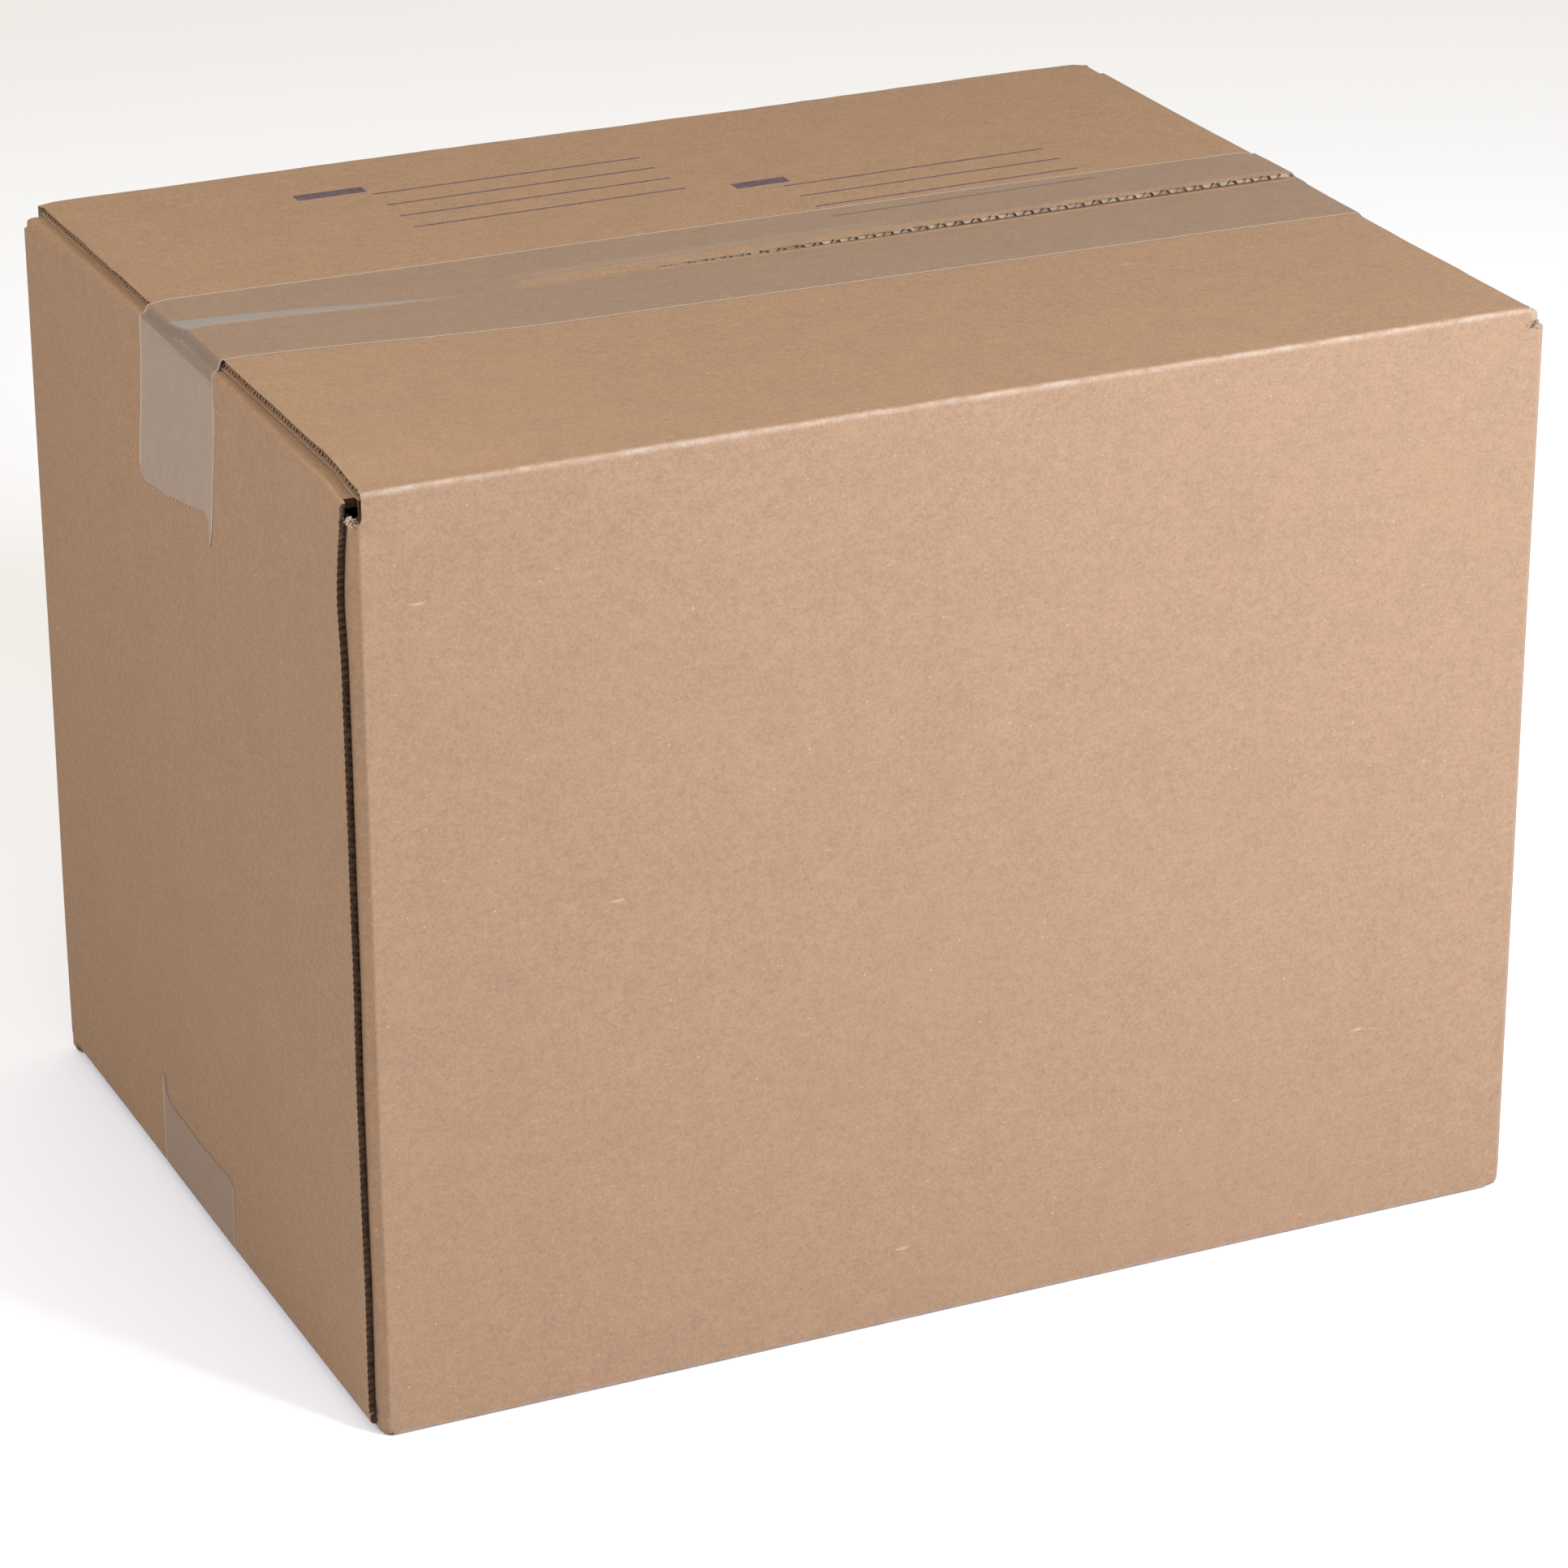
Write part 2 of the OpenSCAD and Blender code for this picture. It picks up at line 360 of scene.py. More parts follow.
def kraftMaterial(name):
    material, tree, shader = newMaterial(name)
    place, paper = paperOn(tree, kraftLook["mottle"], kraftLook["flecks"])
    most, sway = kraftLook["roughness"], kraftLook["roughnessSway"]
    feed(tree, shader, {
        "Base Color": kraftColor(tree, place, paper),
        "Roughness": fade(tree, paper["Shade"], 0.9, 1.1, most + sway, most - sway),
        "Specular IOR Level": kraftLook["specular"],
        "Normal": bumpOf(tree, paper["Height"], kraftLook["bump"], kraftLook["bumpDepth"]),
    })
    return material


def rawMaterial(name, base, contrast):
    # raw paper where the board is cut or torn
    material, tree, shader = newMaterial(name)
    paper = paperOn(tree, contrast, kraftLook["rawFlecks"])[1]
    color = mixColor(tree, paper["Pale Flecks"], base, kraftLook["paleFleck"])
    feed(tree, shader, {
        "Base Color": shadedColor(tree, color, paper),
        "Roughness": kraftLook["rawRoughness"],
        "Specular IOR Level": kraftLook["rawSpecular"],
        "Normal": bumpOf(tree, paper["Height"], kraftLook["rawBump"], kraftLook["bumpDepth"]),
    })
    return material


kraftFace = kraftMaterial("kraftFace")
kraftCut = rawMaterial("kraftCut", kraftLook["cut"], 2.0)
# painted shade: a near black raw paper for the recesses, the joint's gap and the open slot
kraftPaintedShade = rawMaterial("kraftPaintedShade", kraftLook["deep"], 2.0)
kraftTorn = rawMaterial("kraftTorn", kraftLook["torn"], 1.4)
print("kraft made")


# How the box sits: lifted flaps, bowed panels and the uneven top fold

sitLook = {
    "frontLift": 2.7,  # the front flap stands up at its left end
    "frontLiftEnds": 118.0,
    "frontLiftAcross": (3.0, 26.0),  # from its fold: where the lift starts, and over what width
    "backLift": 1.7,  # the back flap stands up at its right end
    "backLiftAlong": (-106.0, 220.0),
    "backLiftPower": 0.6,  # less than 1 lifts it sooner
    "seamCloser": 1.2,  # the front flap's free edge almost meets the back one
    "seamCloserAcross": (-16.0, 15.0),
    "tuckLeft": 3.0,  # the end panels lean in at their top
    "tuckRight": 1.4,
    "tuckUp": (248.0, 60.0),
    "tuckHalf": 150.0,  # half the width that leans in
    "endCrushBack": 1.1,  # the raw ends of the top flaps are crushed
    "endCrushFront": 0.3,
    "endCrushReach": 7.0,
    "foldSquare": 5.0,  # 2 is a round fold, more is squarer
    "uprightFlat": 1.3,  # the upright folds are flat bands: 2 is a sharp corner, less is flatter
    "foldRise": 0.85,  # the short flap's fold rises with the flap on it, as a share of its lift
    "foldRiseUp": (284.0, 26.0),
    "endAlong": (120.0, 80.0),  # towards the ends the panels follow their own bends
    "cornerDrop": 2.8,  # how far the torn top of the front left corner lies below its line
    "cornerDropOthers": 0.35,  # the share of it at the other corners
    "cornerUp": (296.0, 14.0),
    "cornerTop": 311.2,
    "seed": 4,  # the bends and dents drawn: without a seed they differ from run to run
    "bow": 0.35,
    "bowLength": 95.0,
    "bowFrom": 20.0,  # the bends are full above this height
    "crush": 0.22,
    "crushLength": 11.0,
    "crushReach": 14.0,
}

noise.seed_set(sitLook["seed"])


def acrossFlap(y):
    # 0 at the back flap's fold, 1 at its free edge
    return max(0.0, (foldY - y) / box["flapReach"])


def frontLift(x, y):
    along = 1 - rise((x + box["flapHalf"]) / sitLook["frontLiftEnds"])
    return sitLook["frontLift"] * along * ramp(y + box["halfWidth"], *sitLook["frontLiftAcross"])


def backLift(x, y):
    along = ramp(x, *sitLook["backLiftAlong"]) ** sitLook["backLiftPower"]
    return sitLook["backLift"] * along * acrossFlap(y)


def endCrush(x, y):
    deep = sitLook["endCrushBack"] if y > 0 else sitLook["endCrushFront"]
    near = rise(1 - (box["flapHalf"] - abs(x)) / sitLook["endCrushReach"])
    uneven = 0.75 + 0.5 * noise.noise(Vector((x / 40, y / 17, 4)))
    return deep * near * uneven


def flapLift(x, y):
    return backLift(x, y) if y > 0 else frontLift(x, y)


def tuckIn(side, y, z):
    # how far an end panel lies inside its flat plane
    most = sitLook["tuckLeft"] if side < 0 else sitLook["tuckRight"]
    return most * ramp(z, *sitLook["tuckUp"]) * max(0.0, 1 - (y / sitLook["tuckHalf"]) ** 2)


def foldRise(side, y):
    return sitLook["foldRise"] * flapLift(side * box["flapHalf"], y)


def cornerDrop(point):
    # the upright corners end torn, the front left one lowest
    gone = abs(point.x) - box["flapHalf"]
    if gone < -0.5 or abs(point.y) < 147 or not 290 < point.z < sitLook["cornerTop"]:
        return 0.0
    most = sitLook["cornerDrop"]
    if point.x > 0 or point.y > 0:
        most *= sitLook["cornerDropOthers"]
    ragged = 0.8 + 0.7 * noise.noise(point * 0.7)
    return most * ragged * ramp(point.z, *sitLook["cornerUp"]) * ramp(gone, -0.5, 1.5)


def uprightReach(p, q):
    # how far out an upright fold lies in a direction, as a share of its radius
    return min(1 / max(p, 0.001), 1 / max(q, 0.001), sitLook["uprightFlat"] / (p + q))


def turnedOver(z):
    # the underside is worked out as if it were the top
    return box["top"] + box["standsOn"] - z


def squareFold(point):
    # the scored folds are sharper than plain rolls
    least = 0.05
    spots = (
        (0, 1, foldX, foldY),
        (1, 2, foldY, box["top"] - box["foldOut"]),
        (0, 2, foldX, box["top"] - box["lidStep"] - box["foldOut"]),
    )
    for a, b, centreA, centreB in spots:
        upright = b == 1
        if upright and point.x < 0 and point.y < 0:
            centreA -= box["lapStep"]
        flat = point.copy()
        isUnder = not upright and point.z < box["lowHalf"]
        if isUnder:
            flat.z = turnedOver(point.z)
        p = abs(flat[a]) - centreA
        q = (abs(flat[b]) if upright else flat[b]) - centreB
        away = math.hypot(p, q)
        if p <= least or q <= least or not 0.3 < away < box["foldOut"] + 0.2:
            continue
        if (a, b) == (1, 2) and abs(point.x) > box["flapHalf"] + 0.5:
            continue
        if upright:
            grow = uprightReach(p / away, q / away)
        else:
            power = sitLook["foldSquare"]
            grow = 1 / ((p / away) ** power + (q / away) ** power) ** (1 / power)
        p, q = p * grow, q * grow
        flat[a] = math.copysign(centreA + p, flat[a])
        flat[b] = math.copysign(centreB + q, flat[b]) if upright else centreB + q
        if isUnder:
            flat.z = turnedOver(flat.z)
        return flat
    return point.copy()


def bowed(point):
    # slow bends of the whole box, and small dents along the long top folds
    moved = noise.noise_vector(point / sitLook["bowLength"]) * sitLook["bow"]
    moved.z *= rise(point.z / sitLook["bowFrom"])  # the underside stays flat on what it stands on
    fold = math.hypot(box["halfWidth"] - abs(point.y), box["top"] - point.z)
    reach = sitLook["crushReach"]
    if fold < reach and abs(point.x) < box["flapHalf"]:
        dent = noise.noise_vector(point / sitLook["crushLength"] + Vector((7, 3, 1)))
        moved += dent * sitLook["crush"] * (1 - fold / reach)
    return point + moved


# The carton: a copy of its solid, cut into a fine grid, with its raw edges opened

cartonLook = {
    "gridX": 7.5,
    "gridY": 11.0,
    "gridZ": 12.0,
    "nearEnd": (1.0, 2.2, 3.6, 5.2),  # closer cuts beside the raw ends of the long flaps
    "largeFace": 60.0,  # only faces above this area are joined
    "fluteShows": 1.1,
    "ragged": 0.5,
    "slant": 1.3,
    "endReach": 7.0,  # the raw ends lie this near to the top or the underside
    "edgeLiner": 0.22,  # liner left on each side of an opened raw edge
    "edgeDepth": 3.0,
    "combPitch": 2.5,
    "combStart": 2.5,  # from the seam
    "combStop": 4.0,  # from the fold
    "combDepth": 1.3,
    "combPaper": 0.25,
    "combFrom": 0.5,
    "combClear": 0.12,  # between the ribbon and the liners
    "footLevels": (7.4, 5.0, 4.0, 3.0, 2.2, 1.6, 1.1, 0.7),
    "footLift": 0.4,
    "footSquare": 3.6,
    "footSteps": 8,
    "footInset": 0.04,
    "footInside": (199.7, 148.6),  # where the foot ends inside the box
    "jointFrom": -118.0,  # the left panel moves from here on, up to its raw edge
    "jointOver": 28.0,
    "jointSway": 1.9,
    "jointBulge": (281.0, 13.0),  # height and reach of the place where the edge stands off
    "jointTop": (312.0, 12.0, 1.25),  # height, reach and share of the place where it comes back
    "jointCloser": 1.1,  # how far the raw edge of the left panel is moved towards the corner
}

# Where raw paper shows: depths are measured from just over the top, or from the underside
rawLook = {
    "over": 2.2,
    "seam": (15.2, 6.5),  # reach and depth of the open flutes
    "endDepth": 7.5,
    "ribbon": (3.3, 6.0),  # reach and depth of the medium in the raw ends, painted dark as their shade
    # the raw edge of the left panel at the joint, painted dark as the shade of its gap
    "jointEdge": (-203.5, -147.0, -151.0),
    "corner": (203.0, 152.0),
    "cornerReach": 10.0,
    "cornerDepth": (3.0, 16.0),
    "cornerSide": 154.0,
    "cornerRim": 6.98,
}


def cutGrid(bm):
    spans = (
        (0, box["halfLength"], -box["halfLength"], cartonLook["gridX"]),
        (1, box["halfWidth"], -box["halfWidth"], cartonLook["gridY"]),
        (2, box["top"], box["standsOn"], cartonLook["gridZ"]),
    )
    for axis, high, low, step in spans:
        normal = Vector((0, 0, 0))
        normal[axis] = 1
        count = round((high - low) / step)
        levels = [low + (high - low) * i / count for i in range(1, count)]
        if axis == 0:
            reach = box["flapHalf"]
            levels += [side * (reach - near) for near in cartonLook["nearEnd"] for side in (-1, 1)]
        for level in levels:
            parts = bm.verts[:] + bm.edges[:] + bm.faces[:]
            bmesh.ops.bisect_plane(bm, geom=parts, dist=0.001, plane_co=normal * level, plane_no=normal)


def closeFlutes(bm):
    # crushed paper stands a little way inside the open flutes of the seams
    for vert in bm.verts:
        deep = abs(vert.co.y) - box["seamHalf"] - box["fluteDepth"]
        if abs(deep) < 0.3 and abs(vert.co.x) < box["flapHalf"] - 0.1:
            level = vert.co.z - solidLift(vert.co)
            low = level if level < box["lowHalf"] else box["top"] - level
            if 0.2 < low < box["board"] - 0.15:
                vert.co.y = math.copysign(box["seamHalf"] + cartonLook["fluteShows"], vert.co.y)


def solidLift(point):
    # the lift that the solid's own back flap has at a place
    if point.z < box["lowHalf"] or point.y < 0:
        return 0.0
    return box["solidLift"] * acrossFlap(point.y)


def dissolve(bm, isFlat):
    flat = [edge for edge in bm.edges if len(edge.link_faces) == 2 and isFlat(edge)]
    bmesh.ops.dissolve_edges(bm, edges=flat, use_verts=False)


def joinFlatFaces(bm):
    # takes the diagonals out of the large flat faces
    dissolve(bm, lambda edge: edge.calc_face_angle() < 0.001 and min(
        face.calc_area() for face in edge.link_faces) > cartonLook["largeFace"])


def isFlapEnd(face):
    centre = face.calc_center_median()
    outside = abs(abs(centre.x) - box["flapHalf"]) < 0.01 and abs(face.normal.x) > 0.99
    reach = cartonLook["endReach"]
    return outside and not box["standsOn"] + reach < centre.z < box["top"] - reach


def openFlapEnds(bm):
    # the board is open between its liners along the raw side edges of the long flaps
    ends = [face for face in bm.faces if isFlapEnd(face)]
    dissolve(bm, lambda edge: all(face in ends for face in edge.link_faces))
    ends = [face for face in bm.faces if isFlapEnd(face)]
    bmesh.ops.inset_individual(bm, faces=ends, thickness=cartonLook["edgeLiner"])
    bmesh.ops.inset_individual(bm, faces=ends, thickness=0.02, depth=-cartonLook["edgeDepth"])


def skinRings(bm, rings):
    # joins each ring of corners to the next, and closes both ends
    for one, two in zip(rings, rings[1:]):
        for k in range(len(one)):
            m = (k + 1) % len(one)
            bm.faces.new((one[k], one[m], two[m], two[k]))
    bm.faces.new(rings[0])
    bm.faces.new(rings[-1])


def addComb(bm, side, back, under):
    # the crushed medium in one of those edges: a zigzag ribbon between the liners
    pitch = cartonLook["combPitch"] / 2
    count = int((foldY - cartonLook["combStop"]) / pitch)
    half = box["board"] / 2 - cartonLook["edgeLiner"]
    thick = cartonLook["combPaper"] / 2
    middle = box["top"] - box["board"] / 2
    near, far = cartonLook["combFrom"], cartonLook["combDepth"]
    rings = []
    for i in range(count + 1):
        y = cartonLook["combStart"] + i * pitch
        wobble = noise.noise(Vector((i * 0.7, side * 5 + back * 3, under * 9)))
        z = (half - cartonLook["combClear"]) * (1 if i % 2 else -1) * (0.75 + 0.8 * wobble)
        z = max(-half, min(half, z))
        height = turnedOver(middle + z) if under else middle + z
        ring = []
        for depth, shift in ((near, thick), (far, thick), (far, -thick), (near, -thick)):
            x = side * (box["flapHalf"] - depth - 0.6 * abs(wobble) - slant(middle + z))
            ring.append(bm.verts.new((x, (y + shift) * back, height)))
        rings.append(ring)
    skinRings(bm, rings)


def jointSway(point):
    # the raw edge of the left panel wanders, most near its top
    start = cartonLook["jointFrom"]
    if point.x > -box["halfLength"] + 2.3 or point.y > start:
        return 0.0
    near = rise((start - point.y) / cartonLook["jointOver"])
    height, reach = cartonLook["jointBulge"]
    bulge = math.exp(-((point.z - height) / reach) ** 2)
    height, reach, share = cartonLook["jointTop"]
    sway = bulge - share * math.exp(-((point.z - height) / reach) ** 2)
    slow = 0.5 * noise.noise(Vector((point.z / 35, 0, 0)))
    return near * (cartonLook["jointSway"] * sway + slow - cartonLook["jointCloser"])


def paperOf(face):
    # 0 is the printed face of the board, 1 a cut edge, 2 dark paper inside the board, mostly painted
    # shade
    centre, normal = face.calc_center_median(), face.normal
    atX, atY = abs(centre.x), abs(centre.y)
    isTop = centre.z > box["lowHalf"]
    outer = 1 if isTop else -1
    depth = box["top"] + rawLook["over"] - centre.z if isTop else centre.z

    reach, most = rawLook["seam"]
    if atY < reach and depth < most and abs(normal.z) < 0.99:
        if abs(normal.y) > 0.5 or abs(normal.x) > 0.3:
            return 1
    if abs(atX - box["flapHalf"]) < 0.03 and abs(normal.x) > 0.99 and depth < rawLook["endDepth"]:
        return 1
    # the medium inside the raw ends is painted dark as shade
    reach, most = rawLook["ribbon"]
    inner = atY < foldY - 0.3
    if inner and 0 < box["flapHalf"] - atX < reach and abs(normal.z) < 0.99 and depth < most:
        return 2
    # the raw edge of the left panel at the joint is painted dark as the shade of the gap
    left, near, far = rawLook["jointEdge"]
    if centre.x < left and far < centre.y < near and normal.y < -0.3:
        return 2

    # torn paper round the open corners; the front left one is painted dark as the shade of its open slot
    if math.hypot(atX - rawLook["corner"][0], atY - rawLook["corner"][1]) >= rawLook["cornerReach"]:
        return 0
    torn = 2 if centre.x < 0 and centre.y < 0 and isTop else 1
    low, high = rawLook["cornerDepth"]
    inward = max(-normal.x * math.copysign(1, centre.x), -normal.y * math.copysign(1, centre.y),
                 -normal.z * outer)
    if depth < high and inward > 0.3:
        return torn
    end = abs(atX - box["flapHalf"]) < 0.05 and abs(normal.x) > 0.9
    side = atY < rawLook["cornerSide"] and abs(normal.y) > 0.9
    rim = abs(depth - rawLook["over"] - rawLook["cornerRim"]) < 0.4 and normal.z * outer > 0.9
    return torn if low < depth < high and (end or side or rim) else 0


def slant(z):
    # the raw ends were cut aslant, so the outer liner ends short of the inner one
    depth = box["top"] + box["solidLift"] - z if z > box["lowHalf"] else z
    return cartonLook["slant"] * (1 - min(1.0, depth / (box["board"] + box["solidLift"])))


def sitPoint(point):
    # where a place of the flat solid goes once the flaps are lifted and the panels bowed
    point = squareFold(point)
    moved = point.copy()
    under = box["top"] - box["board"]
    if point.z > under - 0.15 and abs(point.x) < box["flapHalf"] + 0.1:
        level = point.z - solidLift(point)
        share = min(max((level - under) / box["board"], 0.0), 1.0)
        crushed = endCrush(point.x, point.y) * share
        moved.z = level + flapLift(point.x, point.y) - crushed
        if point.y < 0:
            moved.y += sitLook["seamCloser"] * ramp(point.y, *sitLook["seamCloserAcross"])
    else:
        side = -1 if point.x < 0 else 1
        near = ramp(abs(point.x), *sitLook["endAlong"])
        up = ramp(point.z, *sitLook["foldRiseUp"])
        moved.x -= side * near * tuckIn(side, point.y, point.z)
        moved.z += foldRise(side, point.y) * near * up - cornerDrop(point)
    moved.y += jointSway(point)
    if abs(abs(point.x) - box["flapHalf"]) < 0.2 and box["foldOut"] < box["halfWidth"] - abs(point.y):
        moved.x += cartonLook["ragged"] * noise.noise(Vector((point.x, point.y / 1.7, point.z / 3)))
        moved.x -= math.copysign(slant(point.z), point.x)
    return bowed(moved)


def addFootCorner(bm, side, back):
    # the rounded paper where two folds meet at a corner of the underside
    centreX = foldX - (box["lapStep"] if side < 0 and back < 0 else 0)
    insideX, insideY = cartonLook["footInside"]
    square, steps = cartonLook["footSquare"], cartonLook["footSteps"]
    rings = []
    for level in cartonLook["footLevels"]:
        below = max(0.0, 1 - (level - box["standsOn"] - cartonLook["footLift"]) / box["foldOut"])
        reach = box["foldOut"] * (1 - below ** square) ** (1 / square) - cartonLook["footInset"]
        outline = [(insideX, foldY + reach)]
        for i in range(steps + 1):
            turn = math.pi / 2 * i / steps
            p, q = math.sin(turn), math.cos(turn)
            grow = reach * uprightReach(p, q)
            outline.append((centreX + p * grow, foldY + q * grow))
        outline += [(centreX + reach, insideY), (insideX, insideY)]
        rings.append([bm.verts.new(bowed(Vector((x * side, y * back, level)))) for x, y in outline])
    skinRings(bm, rings)


def makeCarton():
    bm = bmesh.new()
    bm.from_mesh(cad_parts["carton"].data)
    bmesh.ops.scale(bm, vec=(1 / mm,) * 3, verts=bm.verts)
    bmesh.ops.remove_doubles(bm, verts=bm.verts, dist=0.003)
    closeFlutes(bm)
    joinFlatFaces(bm)
    openFlapEnds(bm)
    cutGrid(bm)
    bm.normal_update()
    for face in bm.faces:
        face.material_index = paperOf(face)
    quarters = [(side, back) for side in (-1, 1) for back in (-1, 1)]
    for side, back in quarters:
        addComb(bm, side, back, False)
        addComb(bm, side, back, True)
    for vert in bm.verts:
        vert.co = sitPoint(vert.co)
    for side, back in quarters:
        addFootCorner(bm, side, back)
    bmesh.ops.triangulate(bm, faces=bm.faces[:])
    piece = finishMesh(bm, "carton_sheet", [kraftFace, kraftCut, kraftPaintedShade])
    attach(piece, "root")
    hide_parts("carton")
    print("carton made:", sum(len(face.vertices) - 2 for face in piece.data.polygons), "triangles")
    built = bmesh.new()
    built.from_mesh(piece.data)
    tree = BVHTree.FromBMesh(built)
    built.free()
    return tree


cartonSurface = makeCarton()


# Clear tape: a thin film that follows the flaps, spans the gaps and ends in a torn edge

filmLook = {
    "width": 72.0,
    "thick": 0.05,
    "lies": 0.08,  # from the board to the film
    "lowest": (0.03, 0.005),  # the least heights of its inner and outer skin
    "columns": 90,
    "rows": 100,
    "nearEnd": (0.0, 0.8, 1.8, 3.0, 4.6, 6.4),  # closer rows beside the flaps' raw ends
    "faceRows": 24,
    "spanRows": 10,
    "spanSlope": 0.18,  # how steeply the film comes down from a raised front flap
    "spanSlopeFront": 0.42,  # and from a raised back flap
    "spanSoft": 0.02,
    "ridge": 0.3,  # extra height over the front flap's raised edge
    "ridgeWidth": 1.1,
    "tailAway": 0.12,  # most that the tail stands off the panel
    "tooth": 3.2,
    "toothDepth": 1.1,
    "cover": 0.40,
    "clear": (0.150, 0.105, 0.072, 1),
    "milky": (0.262, 0.228, 0.194, 1),
    # pale film over air gaps: partly its own haze, partly a painted reflection of the sky
    "airHazeAndReflection": (0.285, 0.245, 0.205, 1),
    # painted highlight along the film's two edges, and its width
    "edgeHighlight": (0.44, 0.36, 0.27, 1),
    "edgeHighlightWidth": 1.1,
    "edgeShares": (0.004, 0.008),  # closer columns beside the two edges
    "foldMilk": 0.85,  # how milky the film is round the fold, and on its slope up to the flap
    "slopeMilk": 0.25,
    "milkEnds": (-60.0, -40.0),  # to the left of here the film over the seam turns milky
    "milkSeam": 0.9,
    "bareWidth": 6.0,  # behind the seam a strip of the film doesn't stick
    "bareFrom": (-95.0, 20.0),  # where it starts, and over what length
    "bareNarrows": (20.0, 70.0, 0.7),  # where it gets narrower, over what length, by what share
    "haze": (3.5, 2.2, 0.5),  # a milky line beside the strip: distance, width and strength
    "hazeEnds": (10.0, 60.0),
    "mottle": 1.6,
    "flecks": 0.7,
    "airAlpha": 0.9,
    "bareAlpha": 0.05,
    "innerSkin": 2.0,  # marks the skin that is never shown
    "roughness": 0.44,
    "specular": 0.36,
    "ripples": 0.15,
}

# Where each tape lies, and its torn ends: share of its width from the front, and length of the tail
topTape = {
    "name": "top_tape",
    "centre": -3.0,
    "skew": -1.6,
    "under": False,
    "left": [(0, 52), (0.01, 57.5), (0.022, 59.5), (0.034, 57), (0.056, 50.5), (0.1, 49.6), (0.3, 52.5),
             (0.58, 55.9), (0.8, 57.4), (0.93, 58.6), (0.975, 57.4), (1, 53.5)],
    "leftTeeth": (0.08, 0.58),
    "right": [(0, 44), (0.03, 45), (0.5, 48), (0.97, 53), (1, 51)],
    "rightTeeth": (0.03, 0.97),
    "milk": 1.0,
}
bottomTape = {
    "name": "bottom_tape",
    "centre": 9.0,
    "skew": -0.6,
    "under": True,
    "left": [(0, 28), (0.03, 29.5), (0.1, 30.4), (0.18, 29.0), (0.3, 29.6), (0.45, 28.8), (0.7, 29.5),
             (0.88, 29.8), (0.93, 31.0), (0.965, 36.5), (0.985, 39.2), (1, 36)],
    "leftTeeth": (0.1, 0.5),
    "right": [(0, 28), (0.04, 29), (0.5, 30), (0.96, 31), (1, 29)],
    "rightTeeth": (0.04, 0.96),
    "milk": 0.0,
}


def tornEnd(points, teeth, share):
    # length of the tail at a place across the tape
    for (fromShare, fromTail), (toShare, toTail) in zip(points, points[1:]):
        if fromShare <= share <= toShare:
            tail = fromTail + (toTail - fromTail) * (share - fromShare) / (toShare - fromShare)
    if teeth[0] < share < teeth[1]:
        phase = (share * filmLook["width"] / filmLook["tooth"]) % 1
        tail += filmLook["toothDepth"] * (abs(phase - 0.5) * 2 - 0.5)
    return tail


def flapTop(x, y):
    return box["top"] + flapLift(x, y) - endCrush(x, y)


def filmTop(x, y):
    # the film rests on the flaps, and comes down in a slope from the one that stands higher
    meet = sitLook["seamCloser"] - box["seamHalf"]
    front = box["top"] + frontLift(x, meet) - endCrush(x, -1)
    back = flapTop(x, box["seamHalf"])
    edge = meet if front > back else box["seamHalf"]
    slope = filmLook["spanSlope"] if front > back else filmLook["spanSlopeFront"]
    tent = max(front, back) - slope * abs(y - edge)
    rest = front if 0 <= y < meet else back if meet <= y < box["seamHalf"] else flapTop(x, y)
    gap = tent - rest
    spans = y > edge if front > back else y < edge
    height = rest + (gap + math.sqrt(gap * gap + filmLook["spanSoft"])) / 2 if spans else rest
    if front > back:
        near = math.exp(-((y - edge) / filmLook["ridgeWidth"]) ** 2)
        height += filmLook["ridge"] * min(1.0, front - back) * near
    return height, max(0.0, height - rest)


def filmEnd(tape, side, y, share):
    # places up one end: the torn tail on the panel, round the fold, across to the flap's raw end
    under = tape["under"]
    key = "left" if side < 0 else "right"
    tail = tornEnd(tape[key], tape[key + "Teeth"], share)
    tuck = (lambda z: 0.0) if under else (lambda z: tuckIn(side, y, z))
    foldZ = box["top"] - box["lidStep"] - box["foldOut"]
    bendX = foldX - tuck(foldZ)
    corner = box["top"] if under else filmTop(side * box["flapHalf"], y)[0]
    spots = []
    rows = filmLook["faceRows"]
    for i in range(rows):
        z = box["top"] - tail + (foldZ - box["top"] + tail) * i / rows
        lean = 1 - i / rows
        away = filmLook["tailAway"] * max(0.0, noise.noise(Vector((y / 9, z / 13, side)))) * lean
        spots.append((box["halfLength"] - tuck(z) + filmLook["lies"] + away, z, 1.0, 0.0))
    toX, toZ = box["flapHalf"] - bendX, corner - foldZ
    away = math.hypot(toX, toZ)
    last = math.atan2(toZ, toX) - math.acos(box["foldOut"] / away)
    reach = box["foldOut"] + filmLook["lies"]
    for i in range(filmLook["spanRows"]):
        angle = last * i / (filmLook["spanRows"] - 1)
        x, z = bendX + reach * math.cos(angle), foldZ + reach * math.sin(angle)
        spots.append((x, z, filmLook["foldMilk"], 0.0))
    startX, startZ = spots[-1][:2]
    endX, endZ = box["flapHalf"], corner + filmLook["lies"]
    for i in range(1, filmLook["spanRows"] + 1):
        t = i / (filmLook["spanRows"] + 1)
        air = rise(away / 4) * math.sin(math.pi * t) ** 0.5
        x, z = startX + (endX - startX) * t, startZ + (endZ - startZ) * t
        spots.append((x, z, filmLook["slopeMilk"], air))
    return [(side * x, z, milk * tape["milk"], air) for x, z, milk, air in spots]


